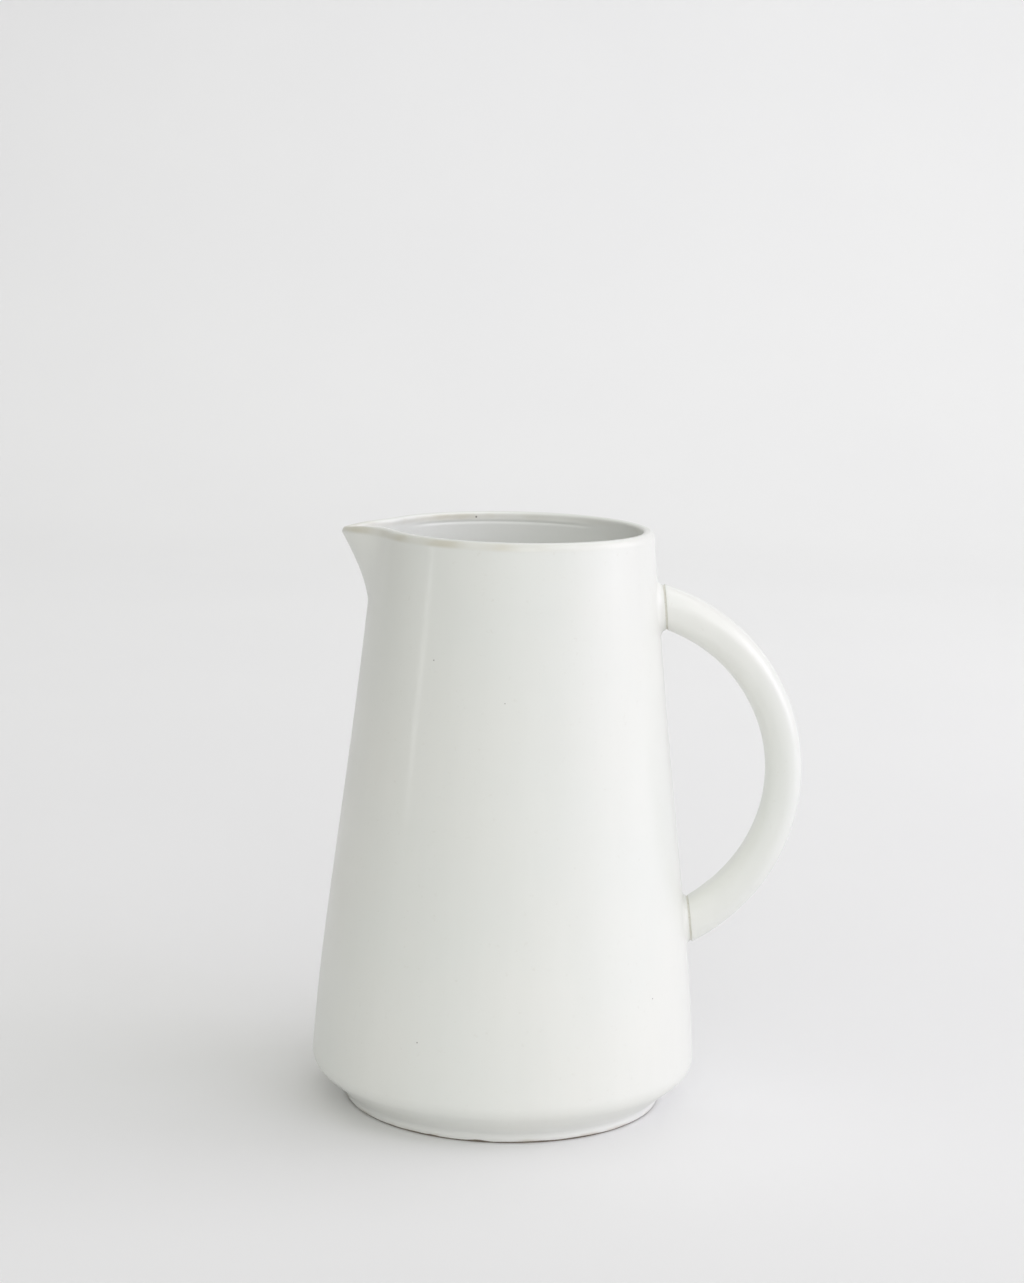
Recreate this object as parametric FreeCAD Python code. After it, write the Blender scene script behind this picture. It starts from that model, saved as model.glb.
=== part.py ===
import FreeCAD, Part
import math
import os

from FreeCAD import Vector

# A hand-thrown stoneware pitcher: a tapered cylindrical vessel on a turned foot, a pointed
# pouring spout let into the rim and a pulled loop handle opposite it.
# Millimetres. +Z is up, +X points to the handle and the spout points to -X.
# The origin is on the vessel's axis, in the plane that the foot stands on.

# ---- driving dimensions ----
# All outside sizes are those of the glazed surface. The clay lies GLAZE below it.
GLAZE = 0.4

# vessel
HEIGHT = 235.0
BELLY_RADIUS = 78.3         # widest, where the wall meets the heel
RIM_RADIUS = 55.8           # outside of the wall just below the lip
LIP_HEIGHT = 4.0            # height over which the lip is rounded outside
LIP_INNER_HEIGHT = 1.8      # and inside, where it is crisper
SWELL = 0.563               # how the wall bulges above a straight taper, low down
SWELL_FADE = -1.396         # how fast that bulge dies away upward
SWELL_LIFT = 0.742          # and returns a little below the rim
RIM_WALL = 4.4
BASE_WALL = 7.0
FLOOR = 7.5                 # thickness of the floor above the recess
INNER_CORNER = 14.0         # rounding between floor and wall inside

# foot and heel
FOOT_RADIUS = 64.0          # of the glazed band, where it would meet the table
FOOT_FLARE = 0.8            # the foot band widens by this much towards its top
FOOT_HEIGHT = 3.8
FOOT_RING = 9.0             # width of the ring that stands on the table
RECESS = 3.0                # depth of the hollow inside the foot ring
HEEL_HEIGHT = 15.3          # where the chamfer and the wall would meet in a corner
HEEL_ROUND = 8.0            # and the radius that rounds that corner
COVE_ROUND = 4.0            # hollow between the foot band and the chamfer above it
GLAZE_LINE = 0.8            # bare clay shows below this height

# spout
SPOUT_REACH = 13.5          # how far the tip stands out from the wall
SPOUT_DEPTH = 32.0          # height of the spout piece, from the rim plane down
SPOUT_CURVE = 1.4           # exponent of the tip's outward sweep
SPOUT_HALF_ANGLE = 16.4     # degrees, from the tip to the valley on each side
SPOUT_TIP = 0.16            # share of that angle that is rounded at the tip
SPOUT_VALLEY = 0.45         # share of that angle that is rounded in each valley
SPOUT_NARROWING = 0.25      # how much narrower the spout is at its root
SPOUT_DROP = 1.7            # the tip's edge lies this far below the rim plane
SPOUT_SECTIONS = 21
SPOUT_CROWDING = 1.3        # over 1 crowds those sections towards the tip

# handle
UPPER_JOINT_DROP = 31.5     # centre of the upper joint, below the rim plane
LOWER_JOINT_HEIGHT = 75.2   # centre of the lower joint
HANDLE_BOW = 43.0           # from the line between the joints out to the grip's centre
HANDLE_THICKNESS = 14.8     # of the grip, measured in the plane of the handle
HANDLE_WIDTH = 19.0
HANDLE_END_THICKNESS = 17.2
HANDLE_END_WIDTH = 20.5
HANDLE_SQUARENESS = 2.3     # exponent of the oval section, 2 being an ellipse
HANDLE_SECTIONS = 11
UPPER_PAD = 2.0             # how far each pad stands out from the wall
LOWER_PAD = 1.3
PAD_FLARE = 3.2             # how much wider a pad is all round where it meets the wall
PAD_FLARE_DEPTH = 4.0       # how far back from the pad's face it has grown by that much
PAD_FLARE_CURVE = 1.5       # exponent of that growth
PAD_SECTIONS = 4
JOINT_GAP = 0.8             # thickness of the slip between pad and handle
JOINT_RECESS = 0.9          # the slip lies this far inside the edges, which makes a groove

# number of points that each curve is drawn through
WALL_POINTS = 12
CAVITY_POINTS = 9
SPOUT_WALL_POINTS = 7
LIP_POINTS = 6
OVAL_POINTS = 24

OUT = "parts"


# ---- the vessel's surfaces as formulas ----
def rim_base():
    """Height at which the lip's rounding starts."""
    return HEIGHT - LIP_HEIGHT


def lip_inner_base():
    """Height at which the lip's rounding starts inside."""
    return HEIGHT - LIP_INNER_HEIGHT


def rise(z):
    """0 at the heel and 1 where the lip starts."""
    return (z - HEEL_HEIGHT) / (rim_base() - HEEL_HEIGHT)


def wall_radius(z):
    """Outside radius of the glazed wall."""
    u = rise(z)
    bulge = u * (1 - u) * (SWELL + SWELL_FADE * u + SWELL_LIFT * u * u)
    return RIM_RADIUS + (BELLY_RADIUS - RIM_RADIUS) * (1 - u + bulge)


def wall_slope(z):
    """Change of the radius with height."""
    step = 0.01
    return (wall_radius(z + step) - wall_radius(z - step)) / (2 * step)


def wall_thickness(z):
    """Glazed thickness, thrown heavier towards the base."""
    return RIM_WALL + (BASE_WALL - RIM_WALL) * (1 - rise(z)) ** 2


def spout_root():
    """Height of the spout piece's lower edge."""
    return HEIGHT - SPOUT_DEPTH


def spout_edge():
    """Angle from the tip to the side joints of the spout piece, in radians."""
    return math.radians(SPOUT_HALF_ANGLE) * (1 + SPOUT_VALLEY)


def spout_reach(z):
    """How far the tip stands out at a height."""
    share = (z - spout_root()) / (rim_base() - spout_root())
    return SPOUT_REACH * max(share, 0.0) ** SPOUT_CURVE


def spout_ridge(q):
    """A rounded peak of 1 at q = 0, with straight flanks that end in valleys at q = 1."""
    slope = 1 / (1 - SPOUT_TIP / 2)
    if q < SPOUT_TIP:
        return 1 - slope * q * q / (2 * SPOUT_TIP)
    if q < 1 - SPOUT_VALLEY:
        return slope * (1 - q)
    if q < 1 + SPOUT_VALLEY:
        return slope * (1 + SPOUT_VALLEY - q) ** 2 / (4 * SPOUT_VALLEY)
    return 0.0


def spout_share(z, turn):
    """Share of the spout's reach at a height and an angle from its tip."""
    depth = max((rim_base() - z) / (rim_base() - spout_root()), 0.0)
    half = math.radians(SPOUT_HALF_ANGLE) * (1 - SPOUT_NARROWING * depth)
    return spout_ridge(abs(turn) / half)


def outer_radius(z, turn):
    """Outside radius of the glazed wall, at an angle from the spout's tip."""
    return wall_radius(z) + spout_reach(z) * spout_share(z, turn)


def inner_radius(z, turn):
    """Inside radius. The wall is measured square to its own surface, so it looks thicker on the flanks."""
    step = 0.002
    lean = (outer_radius(z, turn + step) - outer_radius(z, turn - step)) / (2 * step)
    stretch = math.hypot(1, lean / outer_radius(z, turn))
    return outer_radius(z, turn) - wall_thickness(z) * stretch


# ---- small geometry helpers ----
def at(radius, z):
    """A point of the half-section in the XZ plane."""
    return Vector(radius, 0, z)


def line(a, b):
    return Part.LineSegment(a, b).toShape()


def smooth(points):
    """A curve through the points."""
    curve = Part.BSplineCurve()
    curve.interpolate(points)
    return curve.toShape()


def rounded_corner(before, corner, after, radius):
    """Start, middle and end of the arc that rounds a corner between two straight sides."""
    a = (before - corner).normalize()
    b = (after - corner).normalize()
    half = a.getAngle(b) / 2
    start = corner + a * (radius / math.tan(half))
    end = corner + b * (radius / math.tan(half))
    centre = corner + (a + b).normalize() * (radius / math.sin(half))
    middle = centre + (corner - centre).normalize() * radius
    return start, middle, end


def arc(points):
    return Part.Arc(*points).toShape()


def spread(low, high, count):
    """Evenly spaced values, both ends included."""
    return [low + (high - low) * i / (count - 1) for i in range(count)]


def revolved(edges):
    face = Part.Face(Part.Wire(edges))
    return face.revolve(Vector(0, 0, 0), Vector(0, 0, 1), 360)


# ---- half-sections of the vessel ----
def lip_points(turn, inset):
    """Over the lip in two runs: from its outside to its top, and from its top to its inside."""
    outer = outer_radius(rim_base(), turn)
    inner = inner_radius(lip_inner_base(), turn)
    middle = (outer + inner) / 2
    half = (outer - inner) / 2 - inset
    top = HEIGHT - SPOUT_DROP * spout_share(rim_base(), turn) ** 2 - inset
    arcs = []
    for base, first in ((rim_base(), 0), (lip_inner_base(), math.pi / 2)):
        run = []
        for angle in spread(first, first + math.pi / 2, LIP_POINTS):
            run.append(at(middle + half * math.cos(angle), base + (top - base) * math.sin(angle)))
        arcs.append(run)
    return arcs


def upper_edges(turn, inset):
    """Outer wall, two halves of the lip and inner wall, from the spout's root up and over."""
    outer_heights = spread(spout_root(), rim_base(), SPOUT_WALL_POINTS)
    inner_heights = spread(lip_inner_base(), spout_root(), SPOUT_WALL_POINTS)
    outer = [at(outer_radius(z, turn) - inset, z) for z in outer_heights]
    inner = [at(inner_radius(z, turn) + inset, z) for z in inner_heights]
    over = lip_points(turn, inset)
    return [smooth(outer), smooth(over[0]), smooth(over[1]), smooth(inner)]


def plain_turn():
    """An angle at which the spout has no effect."""
    return math.pi


def foot_edges(inset):
    """Foot band, cove, chamfer, heel and lower wall, all moved inward by inset."""
    foot = at(FOOT_RADIUS, 0)
    band_top = at(FOOT_RADIUS + FOOT_FLARE, FOOT_HEIGHT)
    heel = at(wall_radius(HEEL_HEIGHT), HEEL_HEIGHT)
    up = heel + Vector(wall_slope(HEEL_HEIGHT), 0, 1) * HEEL_ROUND * 2
    foot, band_top, heel, up = shifted([foot, band_top, heel, up], inset)
    base = foot + (band_top - foot) * (-foot.z / (band_top.z - foot.z))
    cove = rounded_corner(base, band_top, heel, COVE_ROUND + inset)
    round_heel = rounded_corner(band_top, heel, up, HEEL_ROUND - inset)
    start = round_heel[2]
    heights = spread(start.z, spout_root(), WALL_POINTS)[1:]
    wall = [start] + [at(wall_radius(z) - inset, z) for z in heights]
    return [line(base, cove[0]), arc(cove), line(cove[2], round_heel[0]), arc(round_heel), smooth(wall)]


def shifted(points, inset):
    """A run of straight sides, each moved inward by inset."""
    sides = []
    for a, b in zip(points, points[1:]):
        along = (b - a).normalize()
        inward = Vector(-along.z, 0, along.x)
        sides.append((a + inward * inset, along))
    moved = [sides[0][0]]
    for (p, d), (q, e) in zip(sides, sides[1:]):
        cross = d.x * e.z - d.z * e.x
        gap = q - p
        moved.append(p + d * ((gap.x * e.z - gap.z * e.x) / cross))
    last, along = sides[-1]
    moved.append(last + along * (points[-1] - points[-2]).Length)
    return moved


def floor_level():
    return RECESS + FLOOR


def cavity_edges(inset):
    """Inner wall below the spout, the rounded corner and the floor in to the axis."""
    level = floor_level() - inset
    corner_top = floor_level() + INNER_CORNER
    heights = spread(spout_root(), corner_top, CAVITY_POINTS)
    wall = [at(inner_radius(z, plain_turn()) + inset, z) for z in heights]
    foot = wall[-1]
    centre = at(foot.x - INNER_CORNER - inset, corner_top)
    radius = INNER_CORNER + inset
    bend = [foot, centre + Vector(1, 0, -1).normalize() * radius, at(centre.x, corner_top - radius)]
    return [smooth(wall), arc(bend), line(bend[2], at(0, level))]


def recess_edges(inset):
    """From the axis out under the floor and down to the foot ring's inner edge."""
    inner = FOOT_RADIUS - FOOT_RING
    edge = at(inner, 0)
    top = at(inner - RECESS, RECESS)
    return [line(at(0, floor_level() - inset), at(0, RECESS)), line(at(0, RECESS), top), line(top, edge)]


def outside_strip():
    """Glaze on the outside, from the bare foot up to the top of the lip."""
    glazed = foot_edges(0)
    clay = foot_edges(GLAZE)
    upper_glazed = upper_edges(plain_turn(), 0)
    upper_clay = upper_edges(plain_turn(), GLAZE)
    outer = trimmed_foot(glazed) + upper_glazed[:2]
    inner = trimmed_foot(clay) + upper_clay[:2]
    ends = [line(start_of(outer), start_of(inner)), line(end_of(outer), end_of(inner))]
    return revolved(Part.__sortEdges__(outer + inner + ends))


def trimmed_foot(edges):
    """The same outline, starting at the glaze line instead of the table."""
    band = edges[0]
    low, high = band.Vertexes[0].Point, band.Vertexes[-1].Point
    share = (GLAZE_LINE - low.z) / (high.z - low.z)
    return [line(low + (high - low) * share, high)] + edges[1:]


def start_of(edges):
    return edges[0].valueAt(edges[0].FirstParameter)


def end_of(edges):
    return edges[-1].valueAt(edges[-1].LastParameter)


def inside_strip():
    """Glaze on the inside, from the top of the lip down to the middle of the floor."""
    glazed = upper_edges(plain_turn(), 0)[2:] + cavity_edges(0)
    clay = upper_edges(plain_turn(), GLAZE)[2:] + cavity_edges(GLAZE)
    ends = [line(start_of(glazed), start_of(clay)), line(end_of(glazed), end_of(clay))]
    return revolved(Part.__sortEdges__(glazed + clay + ends))


# ---- vessel and spout ----
def spout_wedge():
    """The slice of the rim that the spout piece takes the place of."""
    far = 3 * BELLY_RADIUS
    edge = spout_edge()
    low = spout_root()
    corners = [
        Vector(0, 0, low),
        Vector(-far * math.cos(edge), far * math.sin(edge), low),
        Vector(-far * math.cos(edge), -far * math.sin(edge), low),
    ]
    face = Part.Face(Part.makePolygon(corners + corners[:1]))
    return face.extrude(Vector(0, 0, 2 * SPOUT_DEPTH))


def clay_outline():
    """Closed half-section of the bare clay."""
    outside = foot_edges(GLAZE) + upper_edges(plain_turn(), GLAZE) + cavity_edges(GLAZE)
    ring_edge = at(FOOT_RADIUS - FOOT_RING, 0)
    return outside + recess_edges(GLAZE) + [line(ring_edge, start_of(outside))]


def vessel_body():
    clay = revolved(Part.__sortEdges__(clay_outline()))
    return clay.cut(spout_wedge())


def turned_to(edges, turn):
    """Edges of the half-section, carried round from +X to an angle from the spout's tip."""
    moved = []
    for edge in edges:
        copy = edge.copy()
        copy.rotate(Vector(0, 0, 0), Vector(0, 0, 1), 180 + math.degrees(turn))
        moved.append(copy)
    return moved


def spout_turns():
    """Angles of the spout's sections, closer together towards the tip."""
    turns = []
    for w in spread(-1, 1, SPOUT_SECTIONS):
        turns.append(math.copysign(abs(w) ** SPOUT_CROWDING, w) * spout_edge())
    return turns


def lofted(section):
    """A solid through one closed section for each angle round the spout."""
    wires = []
    for turn in spout_turns():
        wires.append(Part.Wire(turned_to(section(turn), turn)))
    return Part.makeLoft(wires, True, False)


def closed(edges_out, edges_in):
    """One closed outline from two runs of edges that go the same way."""
    first = line(start_of(edges_out), start_of(edges_in))
    last = line(end_of(edges_out), end_of(edges_in))
    return edges_out + [last] + edges_in[::-1] + [first]


def spout_clay_section(turn):
    edges = upper_edges(turn, GLAZE)
    return edges + [line(end_of(edges), start_of(edges))]


def spout_glaze_section(turn):
    return closed(upper_edges(turn, 0), upper_edges(turn, GLAZE))


# ---- handle ----
def joint(height, standing):
    """Centre of a joint's slip and the wall's outward direction there."""
    outward = Vector(1, 0, -wall_slope(height)).normalize()
    return at(wall_radius(height), height) + outward * (standing + JOINT_GAP / 2), outward


def upper_joint():
    return joint(HEIGHT - UPPER_JOINT_DROP, UPPER_PAD)


def lower_joint():
    return joint(LOWER_JOINT_HEIGHT, LOWER_PAD)


def handle_arc():
    """Centre, radius and end angles of the handle's centre line."""
    top, _ = upper_joint()
    bottom, _ = lower_joint()
    chord = top - bottom
    half = chord.Length / 2
    radius = (half * half + HANDLE_BOW * HANDLE_BOW) / (2 * HANDLE_BOW)
    outward = Vector(chord.z, 0, -chord.x).normalize()
    centre = (top + bottom) / 2 + outward * (HANDLE_BOW - radius)
    angles = [math.atan2(p.z - centre.z, p.x - centre.x) for p in (bottom, top)]
    return centre, radius, angles


def oval(centre, across, half_across, half_wide):
    """A closed oval in the plane of the direction across and Y."""
    points = []
    power = 2 / HANDLE_SQUARENESS
    for i in range(OVAL_POINTS):
        angle = 2 * math.pi * i / OVAL_POINTS
        c, s = math.cos(angle), math.sin(angle)
        u = math.copysign(abs(c) ** power, c) * half_across
        v = math.copysign(abs(s) ** power, s) * half_wide
        points.append(centre + across * u + Vector(0, v, 0))
    curve = Part.BSplineCurve()
    curve.interpolate(Points=points, PeriodicFlag=True)
    return Part.Wire([curve.toShape()])


def end_oval(centre, outward, grow):
    """The handle's section where the joint's plane cuts it at a slant."""
    radial = (centre - handle_arc()[0]).normalize()
    across = Vector(-outward.z, 0, outward.x)
    if radial.dot(across) < 0:
        across = across * -1
    half = HANDLE_END_THICKNESS / 2 / radial.dot(across)
    return oval(centre, across, half + grow, HANDLE_END_WIDTH / 2 + grow)


def handle_skin(inset):
    """The handle's solid, with its surface moved inward by inset."""
    centre, radius, (low, high) = handle_arc()
    bottom, bottom_out = lower_joint()
    top, top_out = upper_joint()
    wires = [end_oval(bottom + bottom_out * JOINT_GAP / 2, bottom_out, -inset)]
    for share in spread(0, 1, HANDLE_SECTIONS)[1:-1]:
        angle = low + (high - low) * share
        radial = Vector(math.cos(angle), 0, math.sin(angle))
        ends = (2 * share - 1) ** 2
        thick = HANDLE_THICKNESS + (HANDLE_END_THICKNESS - HANDLE_THICKNESS) * ends
        wide = HANDLE_WIDTH + (HANDLE_END_WIDTH - HANDLE_WIDTH) * ends
        wires.append(oval(centre + radial * radius, radial, thick / 2 - inset, wide / 2 - inset))
    wires.append(end_oval(top + top_out * JOINT_GAP / 2, top_out, -inset))
    return Part.makeLoft(wires, True, False)


def pad_solid(place, inset):
    """A pad whose sides flare out towards the wall and run on into it."""
    centre, outward = place
    face = centre - outward * JOINT_GAP / 2
    wires = []
    for share in spread(0, 1, PAD_SECTIONS):
        back = outward * PAD_FLARE_DEPTH * share
        wires.append(end_oval(face - back, outward, PAD_FLARE * share ** PAD_FLARE_CURVE - inset))
    back = outward * (PAD_FLARE_DEPTH + BASE_WALL)
    wires.append(end_oval(face - back, outward, PAD_FLARE - inset))
    return Part.makeLoft(wires, True, True)


def slip_disc(place):
    centre, outward = place
    face = Part.Face(end_oval(centre - outward * JOINT_GAP / 2, outward, -JOINT_RECESS))
    return face.extrude(outward * JOINT_GAP)


# ---- writing ----
def save(name, shape):
    """Writes one node's STEP file, and prints what it holds."""
    solids = shape.Solids
    result = solids[0] if len(solids) == 1 else Part.makeCompound(solids)
    print(f"{name:18s} solids {len(solids)}, valid {result.isValid()}, {result.Volume / 1000:.2f} cm3")
    result.exportStep(os.path.join(OUT, name + ".step"))


def filled_vessel():
    """Everything inside the bare clay's outer surface, used to trim what stands on the wall."""
    outside = foot_edges(GLAZE) + upper_edges(plain_turn(), GLAZE)[:2]
    top = end_of(outside)
    edges = [line(top, at(0, top.z)), line(at(0, top.z), at(0, 0)), line(at(0, 0), start_of(outside))]
    return revolved(Part.__sortEdges__(outside + edges))


def outer_glaze(pads):
    """The coat outside, run up over both pads as far as their faces."""
    filled = filled_vessel()
    coat = outside_strip().cut(spout_wedge())
    coat = coat.fuse([pad_solid(place, 0).cut(filled) for place in (upper_joint(), lower_joint())])
    for pad in pads:
        coat = coat.cut(pad)
    return coat


def main():
    os.makedirs(OUT, exist_ok=True)
    filled = filled_vessel()
    upper_pad = pad_solid(upper_joint(), GLAZE).cut(filled)
    lower_pad = pad_solid(lower_joint(), GLAZE).cut(filled)
    save("vessel_body", vessel_body())
    save("spout", lofted(spout_clay_section))
    save("handle", handle_skin(GLAZE))
    save("upper_handle_pad", upper_pad)
    save("lower_handle_pad", lower_pad)
    save("upper_slip_joint", slip_disc(upper_joint()))
    save("lower_slip_joint", slip_disc(lower_joint()))
    save("outer_glaze", outer_glaze([upper_pad, lower_pad]))
    save("inner_glaze", inside_strip().cut(spout_wedge()))
    save("spout_glaze", lofted(spout_glaze_section))
    save("handle_glaze", handle_skin(0).cut(handle_skin(GLAZE)))


main()
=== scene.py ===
import math

import bmesh
import bpy
import numpy as np
from mathutils import Matrix, Vector


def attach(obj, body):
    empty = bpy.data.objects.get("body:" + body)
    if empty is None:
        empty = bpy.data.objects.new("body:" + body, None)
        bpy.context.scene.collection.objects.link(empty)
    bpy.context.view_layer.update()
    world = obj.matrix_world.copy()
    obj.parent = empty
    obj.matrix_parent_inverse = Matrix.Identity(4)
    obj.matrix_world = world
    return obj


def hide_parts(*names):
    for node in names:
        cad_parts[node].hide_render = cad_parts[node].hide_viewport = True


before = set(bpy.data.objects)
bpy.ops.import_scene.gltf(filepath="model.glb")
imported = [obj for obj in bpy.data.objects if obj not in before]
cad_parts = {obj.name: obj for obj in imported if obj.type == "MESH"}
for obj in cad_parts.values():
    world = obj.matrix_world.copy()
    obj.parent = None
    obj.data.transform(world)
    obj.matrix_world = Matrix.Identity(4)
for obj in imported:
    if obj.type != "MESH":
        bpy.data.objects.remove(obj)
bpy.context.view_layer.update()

# A glazed stoneware pitcher in a plain pale studio.
# Sizes and coordinates below are in millimetres, like the design's, except in the studio's
# section, which is in metres. Every mesh is scaled by MM as it is made.
MM = 0.001

# ---- the vessel, as in the design ----
HEIGHT = 235.0
BELLY_RADIUS = 78.3
RIM_RADIUS = 55.8
LIP_HEIGHT = 4.0
LIP_INNER_HEIGHT = 1.8
SWELL = (0.563, -1.396, 0.742)
RIM_WALL = 4.4
BASE_WALL = 7.0
FLOOR_LEVEL = 10.5
INNER_CORNER = 14.0
FOOT_RADIUS = 64.0
FOOT_FLARE = 0.8
FOOT_HEIGHT = 3.8
HEEL_HEIGHT = 15.3
HEEL_ROUND = 8.0
COVE_ROUND = 4.0
GLAZE = 0.4
GLAZE_LINE = 0.8

SPOUT_REACH = 13.5
SPOUT_DEPTH = 32.0
SPOUT_CURVE = 1.4
SPOUT_HALF_ANGLE = math.radians(16.4)
SPOUT_TIP = 0.16
SPOUT_VALLEY = 0.45
SPOUT_NARROWING = 0.25
SPOUT_DROP = 1.7

UPPER_JOINT_Z = HEIGHT - 31.5
LOWER_JOINT_Z = 75.2
HANDLE_BOW = 43.0
HANDLE_THICKNESS = 14.8
HANDLE_WIDTH = 19.0
HANDLE_END_THICKNESS = 17.2
HANDLE_END_WIDTH = 20.5
HANDLE_SQUARENESS = 2.3
UPPER_PAD = 2.0
LOWER_PAD = 1.3
PAD_FLARE = 3.2
JOINT_GAP = 0.8

RIM_BASE = HEIGHT - LIP_HEIGHT
LIP_INNER_BASE = HEIGHT - LIP_INNER_HEIGHT
SPOUT_ROOT = HEIGHT - SPOUT_DEPTH

# ---- surface detail that the design leaves out ----
CREASE_DROP = 4.5           # a fine groove runs round inside, this far below the rim plane
CREASE_WIDTH = 0.55
CREASE_DEPTH = 0.28
CREASE_SHELF = 0.22         # the wall stands in by this much below the groove
FINGER_BEVEL = 0.30         # and back out by this much above it
LIP_INNER_POWER = 0.7       # below 1: the lip's inner shoulder is tighter than a quarter ellipse
LINER_EXTRA = 0.65          # the liner stands in beside the spout, where the clay's mesh is off the wall
LINER_STOP = 6              # rings of the mesh from where the liner stops to the lip's crest
GLAZE_CHIPS = ((-1.44, 0.05, 0.5), (-1.14, 0.03, 0.35))     # turn, half-width, height
POOL_FULL = 4.5             # the glaze is pooled up to this height, and no longer at the next
POOL_END = 9.0
POOL_AMOUNT = 0.85
FOOT_FILL = 0.35            # glaze gathered at the foot makes its band steeper
EDGE_ROLL = 0.22            # and rolls in at its very edge
EDGE_ROUND = 0.3            # the pads' and the handle's edges at the joints
SEAM_RECESS = 0.25          # the glaze-filled seam lies this far inside those edges
SEAM_HOLLOW = 0.25          # and this much further in its middle
PAD_ROOT = 1.2              # the pads' backs end this deep in the wall
INSET_LIFT = 0.4            # share of the inset by which the underside's corners rise

# points round each mesh, and sections along the handle
COAT_COLUMNS = 330
HANDLE_RINGS = 190
HANDLE_COLUMNS = 96
JOINT_COLUMNS = 128


# ---- form of the vessel: all take and return arrays ----
def rise(z):
    """0 at the heel and 1 where the lip starts."""
    return (z - HEEL_HEIGHT) / (RIM_BASE - HEEL_HEIGHT)


def wall_radius(z):
    u = rise(z)
    bulge = u * (1 - u) * (SWELL[0] + SWELL[1] * u + SWELL[2] * u * u)
    return RIM_RADIUS + (BELLY_RADIUS - RIM_RADIUS) * (1 - u + bulge)


def wall_slope(z):
    step = 0.01
    return (wall_radius(z + step) - wall_radius(z - step)) / (2 * step)


def wall_thickness(z):
    return RIM_WALL + (BASE_WALL - RIM_WALL) * (1 - rise(z)) ** 2


def smoothstep(x):
    x = np.clip(x, 0, 1)
    return x * x * (3 - 2 * x)


def spout_ridge(q):
    """1 at the tip, straight flanks, and 0 past the rounded valleys at q = 1."""
    slope = 1 / (1 - SPOUT_TIP / 2)
    tip = 1 - slope * q * q / (2 * SPOUT_TIP)
    flank = slope * (1 - q)
    valley = slope * np.clip(1 + SPOUT_VALLEY - q, 0, None) ** 2 / (4 * SPOUT_VALLEY)
    return np.where(q < SPOUT_TIP, tip, np.where(q < 1 - SPOUT_VALLEY, flank, valley))


def spout_share(z, turn):
    """Share of the spout's reach at a height and an angle from its tip."""
    depth = np.clip((RIM_BASE - z) / (RIM_BASE - SPOUT_ROOT), 0, 1)
    return spout_ridge(np.abs(turn) / (SPOUT_HALF_ANGLE * (1 - SPOUT_NARROWING * depth)))


def outer_radius(z, turn):
    share = (z - SPOUT_ROOT) / (RIM_BASE - SPOUT_ROOT)
    reach = SPOUT_REACH * np.clip(share, 0, None) ** SPOUT_CURVE
    return wall_radius(z) + reach * spout_share(z, turn)


def inner_radius(z, turn):
    step = 0.004
    lean = (outer_radius(z, turn + step) - outer_radius(z, turn - step)) / (2 * step)
    stretch = np.hypot(1, lean / outer_radius(z, turn))
    return outer_radius(z, turn) - wall_thickness(z) * stretch


def lip_top(turn):
    """Height of the lip's crest: lower at the spout, and not quite level all round."""
    wave = 0.10 * np.sin(turn + 0.6) + 0.06 * np.sin(3 * turn + 2.0) - 0.16
    return HEIGHT - SPOUT_DROP * spout_share(RIM_BASE, turn) ** 2 + wave


def thrown_outside(z, turn):
    """What a potter's hands leave on the outside: slightly out of round, with faint rings."""
    round_error = 0.12 * np.cos(2 * turn - 1.3) + 0.05 * np.cos(3 * turn + 0.8)
    spiral = turn / (2 * math.pi)
    rings = 0.015 * np.sin(2 * math.pi * (z / 13.7 + spiral))
    rings += 0.005 * np.sin(2 * math.pi * (z / 5.9 - spiral) + 2 * np.sin(z / 23.0))
    return round_error + rings


def thrown_inside(z, turn):
    """The same inside, with the groove below the lip and the finger's bevel above it."""
    spiral = turn / (2 * math.pi)
    rings = 0.10 * np.sin(2 * math.pi * (z / 12.1 + spiral) + np.sin(z / 31.0))
    rings = rings * np.clip((RIM_BASE - z) / 25.0, 0, 1)
    crease = HEIGHT - CREASE_DROP + 0.35 * np.sin(turn + 0.4)
    fading = smoothstep((np.abs(turn) - 0.55) / 0.3) * smoothstep((2.35 - np.abs(turn)) / 0.35)
    groove = CREASE_DEPTH * np.exp(-(((z - crease) / CREASE_WIDTH) ** 2))
    shelf = CREASE_SHELF * smoothstep((z - crease + 14) / 10)
    bevel = FINGER_BEVEL * smoothstep((z - crease) / 3.2)
    halfway_up = smoothstep((z - 60) / 30) * smoothstep((200 - z) / 30)
    beside = smoothstep(np.abs(turn) / 0.2) * smoothstep((1.25 - np.abs(turn)) / 0.3)
    return rings + (groove - shelf + bevel) * fading - LINER_EXTRA * halfway_up * beside


# ---- mesh helpers ----
def new_object(name, verts, faces, material):
    mesh = bpy.data.meshes.new(name)
    mesh.from_pydata((np.asarray(verts) * MM).tolist(), [], faces)
    mesh.polygons.foreach_set("use_smooth", [True] * len(mesh.polygons))
    mesh.materials.append(material)
    obj = bpy.data.objects.new(name, mesh)
    bpy.context.scene.collection.objects.link(obj)
    return obj


def face_outward(mesh):
    """Turns all faces of a closed mesh over if they face inward."""
    work = bmesh.new()
    work.from_mesh(mesh)
    if work.calc_volume(signed=True) < 0:
        bmesh.ops.reverse_faces(work, faces=work.faces)
        work.to_mesh(mesh)
    work.free()


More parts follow.
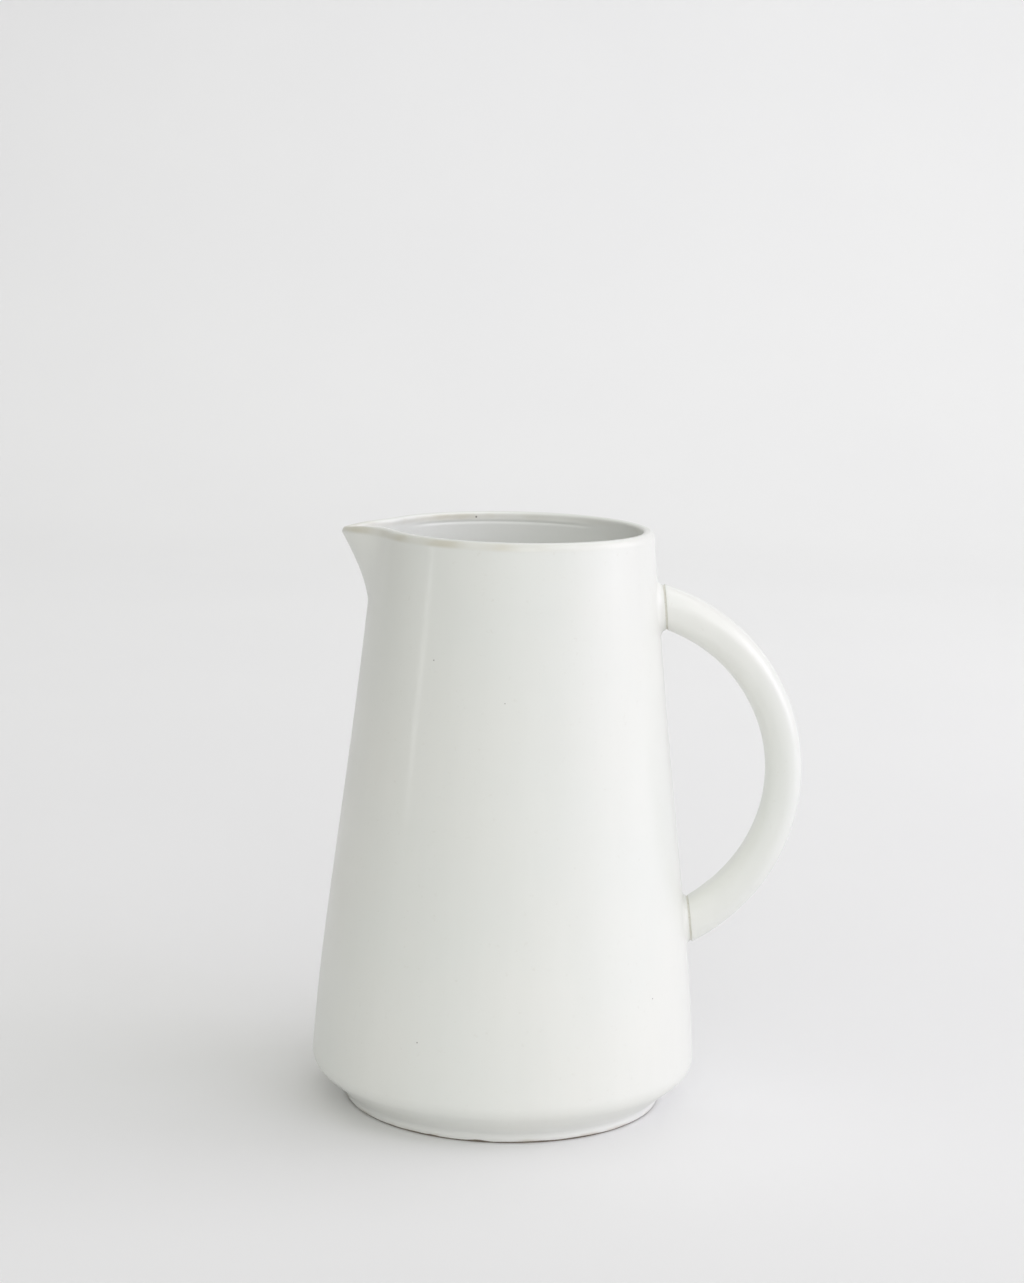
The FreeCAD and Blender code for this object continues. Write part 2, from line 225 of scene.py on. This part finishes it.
def closed_surface(name, first_pole, grid, last_pole, material):
    """A closed mesh: a pole, rings of points, and another pole. grid is rings x columns x 3."""
    rings, columns, _ = grid.shape
    verts = np.concatenate([grid.reshape(-1, 3), [first_pole], [last_pole]])
    first, last = rings * columns, rings * columns + 1
    faces = []
    for j in range(columns):
        k = (j + 1) % columns
        faces.append((first, k, j))
        for i in range(0, (rings - 1) * columns, columns):
            faces.append((i + j, i + k, i + columns + k, i + columns + j))
        end = (rings - 1) * columns
        faces.append((last, end + j, end + k))
    obj = new_object(name, verts, faces, material)
    face_outward(obj.data)
    return obj


def finish_piece(piece, slot, *nodes):
    """Ties a piece to the frame, in place of the CAD nodes that it stands for."""
    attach(piece, "root")
    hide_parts(*nodes)


# ---- the glaze coat on the vessel ----
def spout_columns(count):
    """Angles from the spout's tip, all the way round, crowded at the spout."""
    fine = np.linspace(-math.pi, math.pi, 4001)
    density = 1 + 6 * np.exp(-((fine / 0.30) ** 2))
    total = np.concatenate([[0], np.cumsum((density[1:] + density[:-1]) / 2)])
    return np.interp(np.arange(count) / count * total[-1], total, fine)


def fillet(a, corner, b, radius, count):
    """Points of the arc that rounds a corner of the half-section."""
    a, corner, b = (np.array(p, float) for p in (a, corner, b))
    da = (a - corner) / np.linalg.norm(a - corner)
    db = (b - corner) / np.linalg.norm(b - corner)
    half = math.acos(np.clip(da @ db, -1, 1)) / 2
    centre = corner + (da + db) / np.linalg.norm(da + db) * radius / math.sin(half)
    start = corner + da * radius / math.tan(half)
    end = corner + db * radius / math.tan(half)
    sweep = math.pi - 2 * half
    t = np.linspace(0, 1, count)[:, None]
    arms = np.sin((1 - t) * sweep) * (start - centre) + np.sin(t * sweep) * (end - centre)
    return centre + arms / math.sin(sweep)


def heel_section(inset, fine):
    """From the lower wall round the heel and chamfer to the end of the cove, as (r, z)."""
    foot = np.array([FOOT_RADIUS - inset, 0.0])
    band = np.array([FOOT_RADIUS + FOOT_FLARE - inset, FOOT_HEIGHT + inset * INSET_LIFT])
    heel = np.array([wall_radius(HEEL_HEIGHT) - inset, HEEL_HEIGHT + inset * INSET_LIFT])
    wall = heel + np.array([wall_slope(HEEL_HEIGHT), 1.0]) * 2 * HEEL_ROUND
    round_heel = fillet(wall, heel, band, HEEL_ROUND - inset, 12 if fine else 5)
    cove = fillet(heel, band, foot, COVE_ROUND + inset, 8 if fine else 4)
    share = np.linspace(0, 1, 9 if fine else 3)[1:-1, None]
    chamfer = round_heel[-1] * (1 - share) + cove[0] * share
    return np.concatenate([round_heel, chamfer, cove])


def glaze_edge(turns):
    """Height above the table at which the glaze stops: it wavers, as a wiped edge does, and has chips."""
    wave = 0.30 * np.sin(3 * turns + 1.0) + 0.22 * np.sin(7 * turns + 2.2)
    wave += 0.18 * np.sin(17 * turns) + 0.12 * np.sin(31 * turns + 1.5)
    edge = GLAZE_LINE - 0.1 + 0.3 * wave
    for turn, half_width, height in GLAZE_CHIPS:
        edge = edge + height * np.exp(-(((turns - turn) / half_width) ** 2))
    return edge


def coat_grid(turns, inset, fine):
    """Rings of the glaze surface (inset 0) or its underside, from the floor's middle to the foot."""
    rings = []

    def ring(r, z):
        r, z, _ = np.broadcast_arrays(r, z, turns)
        rings.append(np.stack([-r * np.cos(turns), r * np.sin(turns), z], axis=1))

    corner_top = FLOOR_LEVEL + INNER_CORNER
    reach = INNER_CORNER + inset
    flat = inner_radius(corner_top, turns) + inset + thrown_inside(corner_top, turns) - reach
    for share in np.linspace(0, 1, 11 if fine else 4)[1:]:
        ring(flat * share, FLOOR_LEVEL - inset)
    for angle in np.linspace(0, math.pi / 2, 10 if fine else 4)[1:-1]:
        ring(flat + reach * math.sin(angle), corner_top - reach * math.cos(angle))

    below_crease = HEIGHT - CREASE_DROP - 5
    low_part = np.linspace(corner_top, below_crease, 52 if fine else 14)
    high_part = np.linspace(below_crease, LIP_INNER_BASE, 22 if fine else 8)
    for z in [*low_part, *high_part[1:]]:
        ring(inner_radius(z, turns) + inset + thrown_inside(z, turns), z)

    outer = outer_radius(RIM_BASE, turns) + thrown_outside(RIM_BASE, turns)
    inner = inner_radius(LIP_INNER_BASE, turns) + thrown_inside(LIP_INNER_BASE, turns)
    middle, half = (outer + inner) / 2, (outer - inner) / 2 - inset
    for angle in np.linspace(math.pi, 0, 27 if fine else 9)[1:-1]:
        inside = angle > math.pi / 2
        base, power = (LIP_INNER_BASE, LIP_INNER_POWER) if inside else (RIM_BASE, 1.0)
        share = math.copysign(abs(math.cos(angle)) ** power, math.cos(angle))
        height = base + (lip_top(turns) - inset - base) * math.sin(angle) ** power
        ring(middle + half * share, height)

    heel = heel_section(inset, fine)
    low = heel[0][1]
    for z in np.linspace(RIM_BASE, low, 112 if fine else 34)[:-1]:
        ring(outer_radius(z, turns) - inset + thrown_outside(z, turns), z)
    for r, z in heel:
        ring(r + thrown_outside(low, turns) * np.clip(z / low, 0, 1), z)

    band_r, band_z = heel[-1]
    edge = glaze_edge(turns)
    for share in (0.5, 0.85, 1.0):
        z = band_z + (edge - band_z) * share
        r = band_r - (band_z - z) * FOOT_FLARE / FOOT_HEIGHT
        if inset == 0:
            r = r + FOOT_FILL * share - EDGE_ROLL * smoothstep(share * 2 - 1)
        ring(r, z)
    return np.array(rings)


def make_vessel_coat(material):
    """The coat, with an attribute that is 1 on the liner and 0 elsewhere."""
    turns = spout_columns(COAT_COLUMNS)
    surface = coat_grid(turns, 0.0, True)
    underside = coat_grid(turns, GLAZE, False)[::-1]
    grid = np.concatenate([surface, underside])
    top, bottom = (0, 0, FLOOR_LEVEL), (0, 0, FLOOR_LEVEL - GLAZE)
    coat = closed_surface("vessel_glaze", top, grid, bottom, material)
    crest = int(surface[:, :, 2].mean(axis=1).argmax())
    liner = np.zeros(grid.shape[:2])
    liner[:crest - LINER_STOP] = 1
    poles = (1, 0)
    values = np.append(liner.ravel(), poles).astype(np.float32)
    coat.data.attributes.new("liner", "FLOAT", "POINT").data.foreach_set("value", values)
    finish_piece(coat, "outside_glaze", "outer_glaze", "inner_glaze", "spout_glaze")


# ---- joints and handle ----
def joint_frame(height, standing):
    """At the handle's side: the point on the wall, the ways outward and up it, and the seam's middle."""
    slope = float(wall_slope(height))
    outward = np.array([1, 0, -slope]) / math.hypot(1, slope)
    across = np.array([-outward[2], 0, outward[0]])
    on_wall = np.array([float(wall_radius(height)), 0, height])
    return on_wall, outward, across, on_wall + outward * (standing + JOINT_GAP / 2)


UPPER = joint_frame(UPPER_JOINT_Z, UPPER_PAD)
LOWER = joint_frame(LOWER_JOINT_Z, LOWER_PAD)


def handle_arc():
    """Centre, radius and end angles of the centre line between the two joints."""
    top, bottom = UPPER[3], LOWER[3]
    chord = top - bottom
    half = np.linalg.norm(chord) / 2
    radius = (half * half + HANDLE_BOW * HANDLE_BOW) / (2 * HANDLE_BOW)
    outward = np.array([chord[2], 0, -chord[0]]) / np.linalg.norm(chord)
    centre = (top + bottom) / 2 + outward * (HANDLE_BOW - radius)
    angles = [math.atan2(p[2] - centre[2], p[0] - centre[0]) for p in (bottom, top)]
    return centre, radius, angles


def oval(count):
    """The superellipse of the handle's section, as unit shares across and along Y."""
    angle = np.linspace(0, 2 * math.pi, count, endpoint=False)
    c, s = np.cos(angle), np.sin(angle)
    power = 2 / HANDLE_SQUARENESS
    return angle, np.sign(c) * np.abs(c) ** power, np.sign(s) * np.abs(s) ** power


def end_half(place):
    """Half the height of the handle's end, cut at a slant by the joint's plane."""
    centre, radius, _ = handle_arc()
    radial = (place[3] - centre) / radius
    return HANDLE_END_THICKNESS / 2 / abs(radial @ place[2])


def make_handle(material):
    """A loop pulled by hand: a little uneven, and cut to the joints' planes at both ends."""
    centre, radius, (low, high) = handle_arc()
    around, u, v = oval(HANDLE_COLUMNS)
    rings = []
    for share in np.linspace(0, 1, HANDLE_RINGS):
        angle = low + (high - low) * share
        radial = np.array([math.cos(angle), 0, math.sin(angle)])
        place = LOWER if share < 0.5 else UPPER
        near_end = 1 - smoothstep(min(share, 1 - share) / 0.10)
        facing = math.copysign(1, radial @ place[2])
        across = radial * (1 - near_end) + place[2] * facing * near_end
        across /= np.linalg.norm(across)
        ends = (2 * share - 1) ** 2
        thick = HANDLE_THICKNESS + (HANDLE_END_THICKNESS - HANDLE_THICKNESS) * ends
        wide = HANDLE_WIDTH + (HANDLE_END_WIDTH - HANDLE_WIDTH) * ends
        free = 1 - near_end
        pulled = 0.07 * np.sin(5 * around + 0.7) + 0.04 * np.sin(9 * around + 6 * share)
        uneven = free * (pulled + 0.12 * math.sin(9 * share + 1) * math.sin(math.pi * share))
        half_across = thick / 2 / (radial @ across) + uneven
        half_wide = wide / 2 + uneven
        middle = centre + radial * radius + place[1] * (JOINT_GAP / 2) * near_end
        rings.append(middle + across * (u * half_across)[:, None] + np.outer(v * half_wide, [0, 1, 0]))
    bottom = rounded_end(rings[0], LOWER[1])
    top = rounded_end(rings[-1], UPPER[1])
    grid = np.array([*bottom, *rings[2:-2], *top[::-1]])
    piece = closed_surface("handle_body", grid[0].mean(0), grid, grid[-1].mean(0), material)
    finish_piece(piece, "outside_glaze", "handle", "handle_glaze")


def rounded_end(last, outward):
    """Rings from the middle of the handle's flat end out to its edge and over its rounding."""
    middle = last.mean(0)
    reach = np.linalg.norm(last - middle, axis=1)[:, None]
    rings = [middle + (last - middle) * share for share in (0.3, 0.6, 0.85)]
    for angle in np.linspace(0, math.pi / 2, 5):
        shrink = EDGE_ROUND * (1 - math.sin(angle)) / reach
        rings.append(middle + (last - middle) * (1 - shrink) + outward * EDGE_ROUND * (1 - math.cos(angle)))
    return rings


def make_pad(name, node, place, standing, material):
    """A raised seat for the handle: flat face, small rounded edge and a concave fillet to the wall."""
    on_wall, outward, across, _ = place
    half_up, half_wide = end_half(place), HANDLE_END_WIDTH / 2
    _, u, v = oval(JOINT_COLUMNS)
    rings = []

    def ring(grow, lift_of, share=1.0):
        up, side = u * (half_up + grow) * share, v * (half_wide + grow) * share
        z = on_wall[2] + up * across[2]
        wall_x = np.sqrt(wall_radius(z) ** 2 - side ** 2)
        face_lift = standing + (on_wall[0] + up * across[0] - wall_x) * outward[0]
        wall = np.stack([wall_x, side, z], axis=1)
        rings.append(wall + outward * lift_of(face_lift)[:, None])

    for share in np.linspace(0, 1, 8)[1:]:
        ring(-EDGE_ROUND, lambda lift: lift, share)
    for angle in np.linspace(0, math.pi / 2, 5)[1:]:
        drop = EDGE_ROUND * (1 - math.cos(angle))
        ring(-EDGE_ROUND * (1 - math.sin(angle)), lambda lift: lift - drop)
    for t in (1 - np.cos(np.linspace(0, math.pi / 2, 16)))[1:]:
        left = 1 - math.sqrt(1 - (1 - t) ** 2)
        ring(PAD_FLARE * t, lambda lift: (lift - EDGE_ROUND) * left - 0.03 * t)
    for grow, depth in ((PAD_FLARE + 0.2, 0.5), (PAD_FLARE - 1.5, PAD_ROOT)):
        ring(grow, lambda lift: np.full_like(lift, -depth))
    grid = np.array(rings)
    face_middle, back_middle = on_wall + outward * standing, on_wall - outward * PAD_ROOT
    piece = closed_surface(name, face_middle, grid, back_middle, material)
    finish_piece(piece, "outside_glaze", node)


def make_seam(name, node, place, material):
    """Slip squeezed between pad and handle and glazed over: a thin disc with a hollowed edge."""
    _, outward, across, middle = place
    half_up, half_wide = end_half(place), HANDLE_END_WIDTH / 2
    _, u, v = oval(JOINT_COLUMNS)
    rings = []

    def ring(inset, shift, share=1.0):
        up, side = u * (half_up - inset) * share, v * (half_wide - inset) * share
        rings.append(middle + outward * shift + across * up[:, None] + np.outer(side, [0, 1, 0]))

    shares = (0.35, 0.7, 0.9)
    for share in shares:
        ring(SEAM_RECESS, -JOINT_GAP / 2, share)
    for t in np.linspace(-1, 1, 9):
        ring(SEAM_RECESS + SEAM_HOLLOW * (1 - t * t), t * JOINT_GAP / 2)
    for share in shares[::-1]:
        ring(SEAM_RECESS, JOINT_GAP / 2, share)
    grid = np.array(rings)
    piece = closed_surface(name, grid[0].mean(0), grid, grid[-1].mean(0), material)
    finish_piece(piece, "slip", node)


# ---- materials: object coordinates are in metres, so noise scales are per metre ----
def add_node(tree, kind, **settings):
    made = tree.nodes.new(kind)
    for key, value in settings.items():
        if key in made.inputs:
            made.inputs[key].default_value = value
        else:
            setattr(made, key, value)
    return made


def base_material(name):
    material = bpy.data.materials.new(name)
    material.use_nodes = True
    tree = material.node_tree
    shader = next(n for n in tree.nodes if n.type == "BSDF_PRINCIPLED")
    where = tree.nodes.new("ShaderNodeTexCoord").outputs["Object"]
    return material, tree, shader, where


def noise(tree, where, scale, detail=2.0, roughness=0.5):
    made = add_node(tree, "ShaderNodeTexNoise", Scale=scale, Detail=detail, Roughness=roughness)
    tree.links.new(where, made.inputs["Vector"])
    return made.outputs["Fac"]


def ramp(tree, value, stops):
    """A colour ramp through (position, colour) stops."""
    made = tree.nodes.new("ShaderNodeValToRGB")
    elements = made.color_ramp.elements
    while len(elements) < len(stops):
        elements.new(0.5)
    for element, (position, colour) in zip(elements, stops):
        element.position = position
        element.color = (*colour, 1)
    tree.links.new(value, made.inputs["Fac"])
    return made.outputs["Color"]


def mix(tree, amount, a, b, blend="MIX"):
    """Colour a, with b over it by amount. Either may be a socket or a plain colour."""
    made = tree.nodes.new("ShaderNodeMix")
    made.data_type = "RGBA"
    made.blend_type = blend
    for socket, source in ((made.inputs[0], amount), (made.inputs[6], a), (made.inputs[7], b)):
        if isinstance(source, tuple):
            socket.default_value = (*source, 1)
        elif isinstance(source, float):
            socket.default_value = source
        else:
            tree.links.new(source, socket)
    return made.outputs[2]


def math_node(tree, operation, *values):
    made = tree.nodes.new("ShaderNodeMath")
    made.operation = operation
    for socket, value in zip(made.inputs, values):
        if isinstance(value, (int, float)):
            socket.default_value = value
        else:
            tree.links.new(value, socket)
    return made.outputs[0]


def map_range(tree, value, low, high, to_low=0.0, to_high=1.0):
    """A smooth step from one value to another."""
    made = add_node(tree, "ShaderNodeMapRange", interpolation_type="SMOOTHSTEP")
    tree.links.new(value, made.inputs["Value"])
    for key, number in zip(("From Min", "From Max", "To Min", "To Max"), (low, high, to_low, to_high)):
        made.inputs[key].default_value = number
    return made.outputs["Result"]


def stretched(tree, where, factors):
    """Object coordinates multiplied along each axis."""
    made = add_node(tree, "ShaderNodeVectorMath", operation="MULTIPLY")
    tree.links.new(where, made.inputs[0])
    made.inputs[1].default_value = factors
    return made.outputs[0]


def bumped(tree, shader, height, strength, distance):
    bump = add_node(tree, "ShaderNodeBump", Strength=strength, Distance=distance)
    tree.links.new(height, bump.inputs["Height"])
    tree.links.new(bump.outputs["Normal"], shader.inputs["Normal"])


# iron specks that came through the glaze: degrees from the spout's tip, height, radius and surface
SPECKS = (
    (71.0, 232.8, 0.48, inner_radius),
    (-60.0, 188.5, 0.34, outer_radius),
    (-88.0, 174.0, 0.24, outer_radius),
    (-64.5, 41.5, 0.36, outer_radius),
    (-141.0, 55.0, 0.34, outer_radius),
    (24.0, 131.0, 0.36, outer_radius),
    (118.0, 88.0, 0.30, outer_radius),
    (163.0, 152.0, 0.26, outer_radius),
)
SPECK_COLOUR = (0.13, 0.115, 0.095)
GLAZE_COOL = (0.815, 0.833, 0.792)
GLAZE_WARM = (0.842, 0.847, 0.801)
GLAZE_RUN = (0.70, 0.715, 0.67)
GLAZE_PORE = (0.64, 0.62, 0.555)
GLAZE_THICK = (0.90, 0.91, 0.88)        # pooled: on the liner and round the foot
GLAZE_THIN = (0.65, 0.62, 0.51)         # where it breaks over the lip
GLAZE_FOOT_LINE = (0.60, 0.55, 0.46)


def speck_mask(tree, where):
    """0.85 in the middle of each speck, and 0 away from them."""
    total = None
    for degrees, z, size, surface_radius in SPECKS:
        turn = math.radians(degrees)
        r = float(surface_radius(z, turn))
        place = np.array([-r * math.cos(turn), r * math.sin(turn), z]) * MM
        apart = add_node(tree, "ShaderNodeVectorMath", operation="DISTANCE")
        tree.links.new(where, apart.inputs[0])
        apart.inputs[1].default_value = place.tolist()
        dot = map_range(tree, apart.outputs["Value"], size * 0.55 * MM, size * 1.1 * MM, 0.85, 0.0)
        total = dot if total is None else math_node(tree, "MAXIMUM", total, dot)
    return total


def worn_edge(tree, where, height, axis_x):
    """Where the glaze breaks thin on the lip's shoulders: strongest on the spout's side."""
    below = map_range(tree, height, (HEIGHT - 4.0) * MM, (HEIGHT - 2.4) * MM)
    above = map_range(tree, height, (HEIGHT - 1.1) * MM, (HEIGHT - 0.3) * MM, 1.0, 0.0)
    patchy = map_range(tree, noise(tree, where, 34.0, 3.0), 0.36, 0.62, 0.15, 0.80)
    side = map_range(tree, axis_x, -0.018, 0.022, 1.0, 0.16)
    band = math_node(tree, "MULTIPLY", below, above)
    return math_node(tree, "MULTIPLY", band, math_node(tree, "MULTIPLY", patchy, side))


def glaze_material():
    """Satin off-white glaze: mottled, denser where it pools, tan where it is thin, with iron specks."""
    material, tree, shader, where = base_material("satin_glaze")
    split = tree.nodes.new("ShaderNodeSeparateXYZ")
    tree.links.new(where, split.inputs[0])
    height, axis_x = split.outputs["Z"], split.outputs["X"]

    base = ramp(tree, noise(tree, where, 13.0, 3.0), [(0.32, GLAZE_COOL), (0.68, GLAZE_WARM)])
    runs = noise(tree, stretched(tree, where, (95.0, 95.0, 9.0)), 1.0, 3.0, 0.55)
    base = mix(tree, map_range(tree, runs, 0.35, 0.70, 0.0, 0.06), base, GLAZE_RUN)
    pores = noise(tree, where, 420.0, 3.0, 0.6)
    base = mix(tree, map_range(tree, pores, 0.62, 0.78, 0.0, 0.18), base, GLAZE_PORE)

    liner = add_node(tree, "ShaderNodeAttribute", attribute_name="liner").outputs["Fac"]
    pooled = map_range(tree, height, POOL_FULL * MM, POOL_END * MM, 1.0, 0.0)
    thick = math_node(tree, "MULTIPLY", math_node(tree, "MAXIMUM", liner, pooled), POOL_AMOUNT)
    base = mix(tree, thick, base, GLAZE_THICK)

    base = mix(tree, worn_edge(tree, where, height, axis_x), base, GLAZE_THIN)
    foot_line = map_range(tree, height, 0.7 * MM, 2.3 * MM, 1.0, 0.0)
    foot_patch = map_range(tree, noise(tree, where, 70.0, 3.0), 0.45, 0.65, 0.10, 0.7)
    base = mix(tree, math_node(tree, "MULTIPLY", foot_line, foot_patch), base, GLAZE_FOOT_LINE)
    base = mix(tree, speck_mask(tree, where), base, SPECK_COLOUR)
    tree.links.new(base, shader.inputs["Base Color"])

    rough = map_range(tree, noise(tree, where, 48.0, 4.0), 0.3, 0.7, 0.34, 0.44)
    tree.links.new(rough, shader.inputs["Roughness"])
    shader.inputs["IOR"].default_value = 1.5
    shader.inputs["Coat Weight"].default_value = 0.30
    shader.inputs["Coat Roughness"].default_value = 0.12
    shader.inputs["Coat IOR"].default_value = 1.5

    fine = math_node(tree, "MULTIPLY", noise(tree, where, 700.0, 2.0), 0.22)
    bumped(tree, shader, math_node(tree, "ADD", noise(tree, where, 110.0, 3.0), fine), 0.10, 0.0006)
    return material


def clay_and_painted_shade_material():
    """Bare fired stoneware: grey-brown, grainy, with iron stains and the foot's turning rings. Its tones
    are painted darker than the clay's own, as painted shade for the line where the foot meets the table.
    """
    material, tree, shader, where = base_material("stoneware_with_painted_shade")
    grain = noise(tree, where, 420.0, 5.0, 0.65)
    # painted shade: these tones are darker than the clay's own, so the band of bare clay under the glaze's
    # edge reads as the shadowed contact line at the foot
    dark, middle, light = (0.16, 0.135, 0.11), (0.25, 0.215, 0.175), (0.34, 0.295, 0.245)
    base = ramp(tree, grain, [(0.30, dark), (0.55, middle), (0.75, light)])
    stain = map_range(tree, noise(tree, where, 40.0, 3.0), 0.5, 0.75, 0.0, 0.5)
    base = mix(tree, stain, base, (0.16, 0.12, 0.085))
    tree.links.new(base, shader.inputs["Base Color"])
    rough = map_range(tree, grain, 0.3, 0.7, 0.72, 0.9)
    tree.links.new(rough, shader.inputs["Roughness"])

    rings = add_node(tree, "ShaderNodeTexWave", wave_type="RINGS", rings_direction="Z")
    rings.inputs["Scale"].default_value = 150.0
    rings.inputs["Distortion"].default_value = 0.6
    tree.links.new(where, rings.inputs["Vector"])
    turned = math_node(tree, "MULTIPLY", rings.outputs["Fac"], 0.5)
    bumped(tree, shader, math_node(tree, "ADD", grain, turned), 0.45, 0.0004)
    return material


def seam_material():
    """Slip in the joints under pooled glaze: a shade tanner than the rest, with pinholes."""
    material, tree, shader, where = base_material("glazed_slip")
    grain = noise(tree, where, 300.0, 4.0, 0.6)
    base = ramp(tree, grain, [(0.3, (0.68, 0.665, 0.59)), (0.7, (0.77, 0.765, 0.70))])
    pits = map_range(tree, noise(tree, where, 900.0, 2.0), 0.62, 0.72, 0.0, 0.6)
    base = mix(tree, pits, base, (0.48, 0.44, 0.37))
    tree.links.new(base, shader.inputs["Base Color"])
    rough = map_range(tree, grain, 0.3, 0.7, 0.42, 0.55)
    tree.links.new(rough, shader.inputs["Roughness"])
    bumped(tree, shader, grain, 0.25, 0.0003)
    return material


def set_node_material(node, material):
    """Gives a CAD node that stays a better material."""
    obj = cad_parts[node]
    obj.data.materials.clear()
    obj.data.materials.append(material)


# ---- studio, in metres ----
SWEEP_FRONT = -3.0
SWEEP_BACK = 1.7
SWEEP_CURVE = 1.2
SWEEP_TOP = 3.2
SWEEP_HALF_WIDTH = 3.5


def make_sweep():
    """A pale paper sweep: the floor curves up into the backdrop."""
    profile = [(SWEEP_FRONT, 0.0), (SWEEP_BACK, 0.0)]
    for angle in np.linspace(0, math.pi / 2, 33)[1:]:
        profile.append((SWEEP_BACK + SWEEP_CURVE * math.sin(angle), SWEEP_CURVE * (1 - math.cos(angle))))
    profile.append((SWEEP_BACK + SWEEP_CURVE, SWEEP_TOP))
    verts = []
    for y, z in profile:
        verts += [(-SWEEP_HALF_WIDTH, y, z), (SWEEP_HALF_WIDTH, y, z)]
    faces = [(2 * i, 2 * i + 1, 2 * i + 3, 2 * i + 2) for i in range(len(profile) - 1)]
    material, tree, shader, where = base_material("paper_sweep")
    tone = noise(tree, where, 3.0, 2.0)
    colour = ramp(tree, tone, [(0.3, (0.856, 0.856, 0.856)), (0.7, (0.868, 0.868, 0.866))])
    tree.links.new(colour, shader.inputs["Base Color"])
    shader.inputs["Roughness"].default_value = 0.8
    floor = new_object("paper_sweep", np.array(verts) / MM, faces, material)


def add_area_light(name, place, target, size, lean, power, colour):
    lamp = bpy.data.lights.new(name, "AREA")
    lamp.shape = "RECTANGLE"
    lamp.size, lamp.size_y = size
    lamp.energy = power
    lamp.color = colour
    obj = bpy.data.objects.new(name, lamp)
    obj.location = place
    obj.rotation_euler = (Vector(target) - Vector(place)).to_track_quat("-Z", "Y").to_euler()
    obj.rotation_euler.rotate_axis("Z", math.radians(lean))
    bpy.context.scene.collection.objects.link(obj)


# name, place, what it points at, size, lean in degrees, power in watts, colour
LIGHTS = (
    ("window_back", (2.0, 0.3, 0.9), (0, 0, 0.12), (1.4, 1.4), 0, 11.1, (0.954, 0.933, 1.0)),
    ("window_middle", (2.1, -0.55, 0.85), (0, 0, 0.12), (1.4, 1.4), 0, 5.9, (0.90, 0.85, 1.0)),
    ("window_high", (1.6, -1.4, 1.8), (0, 0, 0.12), (1.4, 1.4), 0, 7.1, (0.87, 0.87, 1.0)),
    ("front_fill", (0.2, -2.6, 1.3), (0, 0, 0.12), (1.6, 1.2), 0, 11.1, (0.995, 1.0, 0.98)),
    ("backdrop_wash", (0.8, 0.9, 2.3), (0.3, 2.9, 0.9), (1.6, 1.0), 0, 13.7, (0.965, 0.983, 1.0)),
    ("strip", (-1.6, -0.57, 0.185), (0, 0, 0.17), (0.10, 0.26), -40, 0.35, (1.0, 1.0, 1.0)),
)

# the room's own soft light: the direction and colour of each side's share
ROOM_LOBES = (
    ((1, 0, 0), (0.255, 0.249, 0.286)),
    ((0, -0.8, 0.6), (0.462, 0.459, 0.454)),
    ((0, 0, 1), (0.483, 0.484, 0.454)),
)


def make_room_light():
    """A white room that is brighter to the right, in front and overhead, and dark to the left."""
    world = bpy.data.worlds.new("studio")
    bpy.context.scene.world = world
    world.use_nodes = True
    tree = world.node_tree
    where = tree.nodes.new("ShaderNodeTexCoord").outputs["Generated"]
    total = None
    for direction, colour in ROOM_LOBES:
        facing = add_node(tree, "ShaderNodeVectorMath", operation="DOT_PRODUCT")
        tree.links.new(where, facing.inputs[0])
        facing.inputs[1].default_value = direction
        lobe = add_node(tree, "ShaderNodeVectorMath", operation="SCALE")
        lobe.inputs[0].default_value = colour
        tree.links.new(math_node(tree, "MAXIMUM", facing.outputs["Value"], 0.0), lobe.inputs["Scale"])
        if total is None:
            total = lobe.outputs[0]
            continue
        both = add_node(tree, "ShaderNodeVectorMath", operation="ADD")
        tree.links.new(total, both.inputs[0])
        tree.links.new(lobe.outputs[0], both.inputs[1])
        total = both.outputs[0]
    tree.links.new(total, tree.nodes["Background"].inputs["Color"])


CAMERA_PLACE = (0.0035, -1.0589, 0.3589)
CAMERA_TURN = math.radians(-0.204)
CAMERA_PITCH = math.radians(9.159)
CAMERA_ROLL = math.radians(1.408)
CAMERA_LENS = 74.70
SENSOR = 36.0


def make_camera():
    """Above the rim, looking a little down, and held with a slight roll."""
    level = Vector((math.cos(CAMERA_TURN), -math.sin(CAMERA_TURN), 0))
    ahead = Vector((math.sin(CAMERA_TURN), math.cos(CAMERA_TURN), 0))
    forward = ahead * math.cos(CAMERA_PITCH) + Vector((0, 0, -math.sin(CAMERA_PITCH)))
    up = level.cross(forward)
    right = level * math.cos(CAMERA_ROLL) + up * math.sin(CAMERA_ROLL)
    tilted_up = up * math.cos(CAMERA_ROLL) - level * math.sin(CAMERA_ROLL)
    lens = bpy.data.cameras.new("camera")
    lens.lens = CAMERA_LENS
    lens.sensor_width = SENSOR
    lens.sensor_fit = "AUTO"
    camera = bpy.data.objects.new("camera", lens)
    turn = Matrix((right, tilted_up, -forward)).transposed().to_4x4()
    camera.matrix_world = Matrix.Translation(CAMERA_PLACE) @ turn
    bpy.context.scene.collection.objects.link(camera)
    bpy.context.scene.camera = camera


def main():
    make_camera()
    make_room_light()
    for light in LIGHTS:
        add_area_light(*light)
    make_sweep()
    glaze = glaze_material()
    seam = seam_material()
    make_vessel_coat(glaze)
    make_handle(glaze)
    make_pad("upper_pad", "upper_handle_pad", UPPER, UPPER_PAD, glaze)
    make_pad("lower_pad", "lower_handle_pad", LOWER, LOWER_PAD, glaze)
    make_seam("upper_seam", "upper_slip_joint", UPPER, seam)
    make_seam("lower_seam", "lower_slip_joint", LOWER, seam)
    # the clay's tones are painted dark, as painted shade for the contact line under the glaze's edge
    clay = clay_and_painted_shade_material()
    for node in ("vessel_body", "spout"):
        set_node_material(node, clay)
    bpy.context.scene.view_settings.view_transform = "Standard"
    bpy.context.scene.view_settings.look = "None"


main()
